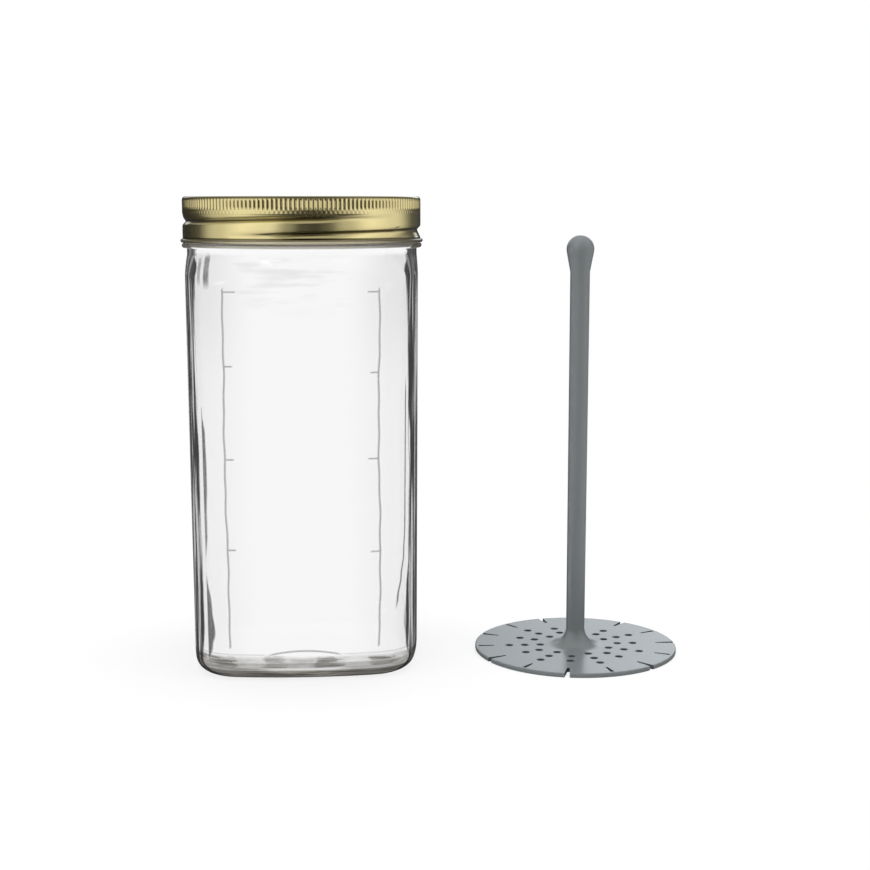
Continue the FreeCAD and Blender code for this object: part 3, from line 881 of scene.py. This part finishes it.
def mark_band(band):
    """Write how deep each point lies in the knurl and along the groove, for the finish to paint
    shade in them.
    """
    valley = band.data.attributes.new("rib_valley", "FLOAT", "POINT")
    groove = band.data.attributes.new("groove_line", "FLOAT", "POINT")
    for number, point in enumerate(band.data.vertices):
        x, y, z = point.co / MM
        bearing = math.atan2(x, -y)
        if KNURL_FOOT < z < 176.0 and math.hypot(x, y) > BAND - 0.5:
            valley.data[number].value = rib_valley(bearing)
        elif 161.8 < z < 170.8 and math.hypot(x, y) > BAND - 1.5:
            groove.data[number].value = max(
                reach * math.exp(-((gap - 0.8 + wide) / 0.55) ** 2)
                for gap, reach, wide in groove_laps(bearing, z))


def make_lid_disc():
    """The stamped disc: flat centre panel, raised brim."""
    brim = PANEL + PANEL_SLOPE
    low_top, high_top = PANEL_LOW + TIN, PANEL_HIGH + TIN
    top = ([(12.0, low_top), (PANEL - 0.8, low_top)]
           + arc(PANEL - 0.5, low_top + PANEL_ROUND, PANEL_ROUND, -90, -45, 3)
           + arc(brim + 0.2, high_top - PANEL_ROUND, PANEL_ROUND, 135, 90, 3)
           + [(DISC_EDGE - 0.3, high_top)]
           + arc(DISC_EDGE, high_top - DISC_ROUND, DISC_ROUND, 90, -90, 4)
           + [(DISC_EDGE - 0.3, PANEL_HIGH)])
    under = [(brim, PANEL_HIGH), (PANEL, PANEL_LOW), (34.0, PANEL_LOW), (12.0, PANEL_LOW),
             (0, PANEL_LOW)]
    disc = turn("lid_disc_stamped", DISC_COLUMNS, top + under)
    close_level(disc, DISC_COLUMNS)
    return finish_mesh(disc, gold_tin(), 40)


def shift_to(across, bearing):
    """Moves something out from the axis, in mm, and then round it."""
    return Matrix.Rotation(bearing, 4, "Z") @ Matrix.Translation((across * MM, 0, 0))


def cutter_hole(across, bearing):
    """A round cutter for one drain hole, a little wider where it meets the plate's faces."""
    rings = [(0.5, -1.0), (HOLE_MOUTH, -1.0), (HOLE_MOUTH, -0.02), (HOLE, 0.2),
             (HOLE, PLATE_THICK - 0.2), (HOLE_MOUTH, PLATE_THICK + 0.02), (HOLE_MOUTH, 3.0),
             (0, 3.0)]
    hole = turn("drain_cutter", 24, rings)
    close_level(hole, 24)
    hole.data.transform(shift_to(across, bearing))
    return hole


def cutter_slot(outer, outer_width, bearing):
    """A tapered cutter for one slot, from its root out to a radius."""
    clear_selection()
    middle = (SLOT_START + outer) / 2
    bpy.ops.mesh.primitive_cube_add(size=1, location=(middle * MM, 0, 1.0 * MM),
                                    scale=((outer - SLOT_START) * MM, 1 * MM, 4.0 * MM))
    block = bpy.context.object
    bpy.ops.object.transform_apply(location=True, rotation=False, scale=True)
    for point in block.data.vertices:
        point.co.y *= SLOT_ROOT if point.co.x < middle * MM else outer_width
    block.data.transform(shift_to(0, bearing))
    return block


def make_cutter():
    """All the drain holes and slots as one cutter."""
    cutters = []
    for k in range(RAYS):
        open_ray = 2 * math.pi * k / RAYS
        closed_ray = open_ray + math.pi
        cutters += [cutter_hole(across, open_ray) for across in OPEN_RAY_HOLES]
        cutters += [cutter_hole(across, closed_ray) for across in CLOSED_RAY_HOLES]
        cutters.append(cutter_slot(PLATE + SLOT_PAST_RIM, OPEN_SLOT_END, open_ray))
        cutters.append(cutter_slot(PLATE - SLOT_PAST_RIM, CLOSED_SLOT_END, closed_ray))
    clear_selection()
    for cutter in cutters:
        cutter.select_set(True)
    bpy.context.view_layer.objects.active = cutters[0]
    bpy.ops.object.join()
    joined = bpy.context.object
    turn_outwards(joined)
    return joined


def lifter_rings():
    """Radius and height of the lifter's rings, from under its plate up to its knob."""
    neck = LIFTER_TOP - KNOB_DROP
    knob_middle = LIFTER_TOP - KNOB
    stem_start = PLATE_THICK + FLARE
    # Where the knob's round meets the line to the top of the stem without a corner.
    away = neck - knob_middle
    swing = math.atan2(away, STEM_TOP) + math.acos(KNOB / math.hypot(STEM_TOP, away))
    under = [(radius, 0.0) for radius in PLATE_RINGS]
    rim = (arc(PLATE - PLATE_ROUND, PLATE_ROUND, PLATE_ROUND, -90, 0, 3)
           + arc(PLATE - PLATE_ROUND, PLATE_THICK - PLATE_ROUND, PLATE_ROUND, 0, 90, 3))
    top = [(radius, PLATE_THICK) for radius in reversed(PLATE_RINGS)]
    flare = arc(STEM_FOOT + FLARE, stem_start, FLARE, -90, -180, 12)
    stem = [(STEM_FOOT + (STEM_TOP - STEM_FOOT) * k / 12,
             stem_start + (neck - stem_start) * k / 12) for k in range(1, 13)]
    knob = arc(0, knob_middle, KNOB, math.degrees(swing), 84, 14) + [(0, LIFTER_TOP)]
    return under + rim + top + flare + stem + knob


def make_lifter():
    """Strainer plate, stem and knob in one moulding, turned and then pierced."""
    lifter = turn("lifter_moulded", LIFTER_COLUMNS, lifter_rings())
    close_level(lifter, LIFTER_COLUMNS)
    cutter = make_cutter()
    finish_mesh(lifter, grey_moulding("grey_moulding", "6D7273"), 35)
    pick(lifter)
    cut = lifter.modifiers.new("pierce", "BOOLEAN")
    cut.operation = "DIFFERENCE"
    cut.solver = "EXACT"
    cut.object = cutter
    bpy.ops.object.modifier_apply(modifier=cut.name)
    bpy.data.objects.remove(cutter)
    # The walls of the drain holes and slots take a darker grey: painted shade in them.
    lifter.data.materials.append(grey_moulding("pierced_wall", "4B5053"))
    for face in lifter.data.polygons:
        middle = face.center / MM
        in_plate = middle.z < PLATE_THICK - 0.02 and math.hypot(middle.x, middle.y) < PLATE - 0.9
        if in_plate and abs(face.normal.z) < 0.9:
            face.material_index = 1
    lifter.data.transform(Matrix.Translation((LIFTER_X * MM, LIFTER_Y * MM, 0)))
    bpy.ops.object.shade_smooth_by_angle(angle=math.radians(32))
    clear_selection()
    return lifter


# ---------------------------------------------------------------- the pieces on their bodies

jar = make_glass_jar()
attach(jar, "jar")
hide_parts("glass_jar")

band = make_screw_band()
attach(band, "band")
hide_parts("screw_band")

disc = make_lid_disc()
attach(disc, "lid")
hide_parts("lid_disc")

lifter = make_lifter()
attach(lifter, "lifter")
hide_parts("lifter")

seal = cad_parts["lid_seal"]
seal.data.materials.clear()
seal.data.materials.append(red_rubber())


# ---------------------------------------------------------------- studio

# How strong the light is that shiny surfaces mirror, by its bearing in degrees from the front.
SIDE_LIGHT = ((-180, 0.05), (-144, 0.04), (-118, 0.07), (-88, 0.62), (-57, 1.0), (-31, 0.86),
              (-12, 0.28), (0, 0.05), (14, 0.03), (25, 0.10), (43, 0.52), (70, 1.0),
              (103, 0.76), (136, 0.16), (160, 0.07), (180, 0.05))


def side_light(f, x, y):
    """Soft light from both sides, by the bearing from the front."""
    turned = sum_up("ARCTAN2", x, 0 - y) / (2 * math.pi) + 0.5
    return f.node("ValToRGB", {
        "blend": "EASE",
        "stops": [((bearing + 180) / 360, (light, light, light, 1))
                  for bearing, light in SIDE_LIGHT]},
        {"Fac": turned})


def white_floor():
    """A pale floor that reads white to the eye and keeps the pieces' soft shadow."""
    f = new_finish("white_floor")
    matt = f.node("BsdfDiffuse", None, {"Color": (0.86, 0.86, 0.86, 1)})
    glow = f.node("Emission", None, {"Color": (1, 1, 1, 1), "Strength": 1.0})
    spot = f.node("TexCoord", None, None, "Object")
    away = f.node("VectorMath", {"operation": "LENGTH"}, {"Vector": spot}, "Value")
    seen = f.seen()
    side = side_light(f, f.part(spot, 0), f.part(spot, 1))
    side = f.mix(0.06 + away.fade(0.12, 0.28) * 0.84, (0.03, 0.03, 0.03, 1), side)
    dim = f.node("Emission", None, {"Color": side, "Strength": 1.0})
    share = (0.72 + away.fade(0.12, 0.32) * 0.28).at_least(f.ray("Transmission"))
    pale = f.blend(seen * share, matt, glow)
    return f.surface(f.blend(f.ray("Glossy") * (1 - seen), pale, dim))


def studio_world():
    """White to the eye and through glass; to shiny surfaces, soft light from both sides."""
    f = Finish(bpy.data.worlds.new("studio"))
    way = f.node("TexCoord", None, None, "Generated")
    x, y, z = (f.part(way, number) for number in range(3))
    around = side_light(f, x, y).at_least(z.fade(0.15, 0.45) * 0.42)
    behind = y.fade(0.80, 0.92) * z.fade(0.10, 0.20) * (1 - z.fade(0.45, 0.60))
    around = f.mix(behind, around, (0.90, 0.95, 1.0, 1))
    sky = f.mix(z.fade(0.80, 0.99), around, (0.38, 0.38, 0.38, 1))
    shiny = f.node("Background", None, {
        "Color": sky, "Strength": 1 + behind * (x * 6.6 - 0.14).at_least(0.0).at_most(1.4)})
    plain = f.node("Background", None, {"Color": (0.97, 0.98, 1.0, 1), "Strength": 0.45})
    white = f.node("Background", None, {"Color": (1, 1, 1, 1), "Strength": 1.0})
    seen = f.seen()
    lit = f.blend(f.ray("Glossy"), plain, shiny)
    return f.surface(f.blend(seen, lit, white))


def soft_lamp(name, place, target, size, power):
    """A rectangular softbox that aims at a target and doesn't show in shiny surfaces."""
    data = bpy.data.lights.new(name, "AREA")
    data.shape = "RECTANGLE"
    data.size, data.size_y = size
    data.energy = power
    lamp = bpy.data.objects.new(name, data)
    lamp.location = place
    aim = Vector(target) - Vector(place)
    lamp.rotation_euler = aim.to_track_quat("-Z", "Y").to_euler()
    bpy.context.scene.collection.objects.link(lamp)
    lamp.visible_glossy = False


def set_stage():
    """The floor, the studio round it and its lamps."""
    clear_selection()
    bpy.ops.mesh.primitive_plane_add(size=8.0, location=(0, 0, 0))
    floor = bpy.context.object
    floor.name = "studio_floor"
    floor.data.materials.append(white_floor())
    bpy.context.scene.world = studio_world()
    soft_lamp("left_softbox", (-0.9, -0.8, 0.7), (0.03, 0, 0.08), (0.7, 0.9), 8.0)
    soft_lamp("right_softbox", (1.1, -0.6, 0.6), (0.05, 0, 0.08), (0.6, 0.9), 3.0)
    soft_lamp("overhead", (0.05, 0.1, 1.2), (0.05, 0, 0), (1.0, 0.8), 12.0)


def set_camera():
    """A camera in front of the jar, a little above its lid and looking slightly down."""
    data = bpy.data.cameras.new("camera")
    data.lens = 64.5
    data.sensor_width = 36.0
    data.clip_start = 0.01
    data.clip_end = 50.0
    camera = bpy.data.objects.new("camera", data)
    camera.location = (0.0136, -0.600, 0.176)
    camera.rotation_euler = (math.radians(90 - 8.61), 0, math.radians(-3.53))
    bpy.context.scene.collection.objects.link(camera)
    bpy.context.scene.camera = camera


set_stage()
set_camera()
scene = bpy.context.scene
scene.view_settings.view_transform = "Standard"
scene.cycles.max_bounces = 24
scene.cycles.transmission_bounces = 24
scene.cycles.transparent_max_bounces = 16
scene.cycles.caustics_reflective = False
scene.cycles.caustics_refractive = False
